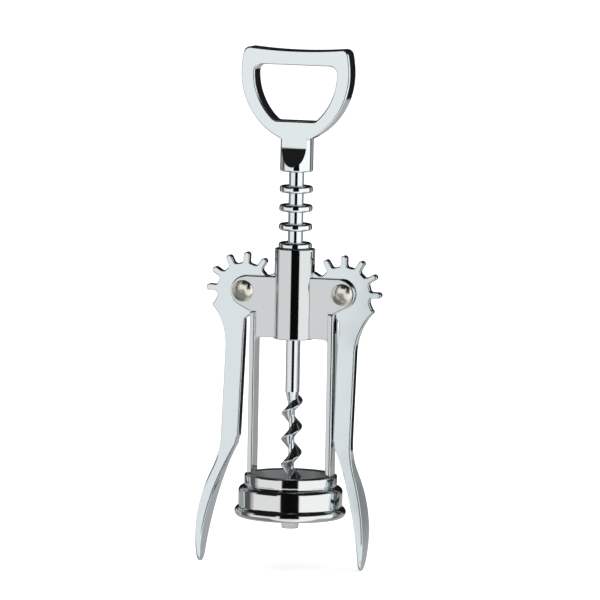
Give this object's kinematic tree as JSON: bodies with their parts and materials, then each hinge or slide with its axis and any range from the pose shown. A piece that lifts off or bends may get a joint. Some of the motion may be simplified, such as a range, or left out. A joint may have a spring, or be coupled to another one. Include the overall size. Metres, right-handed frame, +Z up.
{
  "type": "lever corkscrew",
  "caption": "Chromed wing corkscrew: D-shaped bottle-opener handle, ringed rack, geared side levers, open frame with bell, pointed worm with clear tip guard.",
  "frame": {"origin": "centre of the bell's mouth in the plane of its bottom rim, on the worm's axis", "axes": "+Z up along the worm's axis to the handle, +X towards the right lever, -Y towards the front of the frame"},
  "size_m": [0.0622, 0.038, 0.1771],
  "materials": {
    "chrome": "bright chrome plate on a die casting",
    "frame_chrome": "bright chrome plate on a die casting",
    "bell_chrome": "bright chrome plate on a turned collar",
    "lever_chrome": "bright chrome plate, slightly bluish",
    "worm_steel": "chrome-plated steel",
    "rivet_nickel": "warm nickel-plated domed rivet",
    "clear_plastic": "milky translucent polyethylene"
  },
  "bodies": {
    "frame": {"frame_casting": "frame_chrome", "bell_collar": "bell_chrome", "left_pivot_rivet": "rivet_nickel", "right_pivot_rivet": "rivet_nickel"},
    "left_lever": {"left_lever": "lever_chrome"},
    "right_lever": {"right_lever": "lever_chrome"},
    "rack": {"ring_rack": "chrome"},
    "screw": {"opener_handle": "chrome", "worm": "worm_steel", "tip_guard": "clear_plastic"}
  },
  "joints": [
    {"name": "left_lever_swing", "type": "hinge", "parent": "frame", "child": "left_lever", "pos_m": [-0.0172, 0, 0.0767], "axis": [0, 1, 0], "range_deg": [0, 150]},
    {"name": "right_lever_swing", "type": "hinge", "parent": "frame", "child": "right_lever", "pos_m": [0.0172, 0, 0.0767], "axis": [0, -1, 0], "range_deg": [0, 150]},
    {"name": "rack_slide", "type": "slide", "parent": "frame", "child": "rack", "axis": [0, 0, -1], "range_m": [0, 0.0322]},
    {"name": "handle_turn", "type": "hinge", "parent": "rack", "child": "screw", "pos_m": [0, 0, 0.117], "axis": [0, 0, 1], "continuous": true}
  ],
  "couplings": [
    {"joint": "right_lever_swing", "follows": "left_lever_swing", "ratio": 1},
    {"joint": "rack_slide", "follows": "left_lever_swing", "m_per_rad": 0.012261}
  ]
}
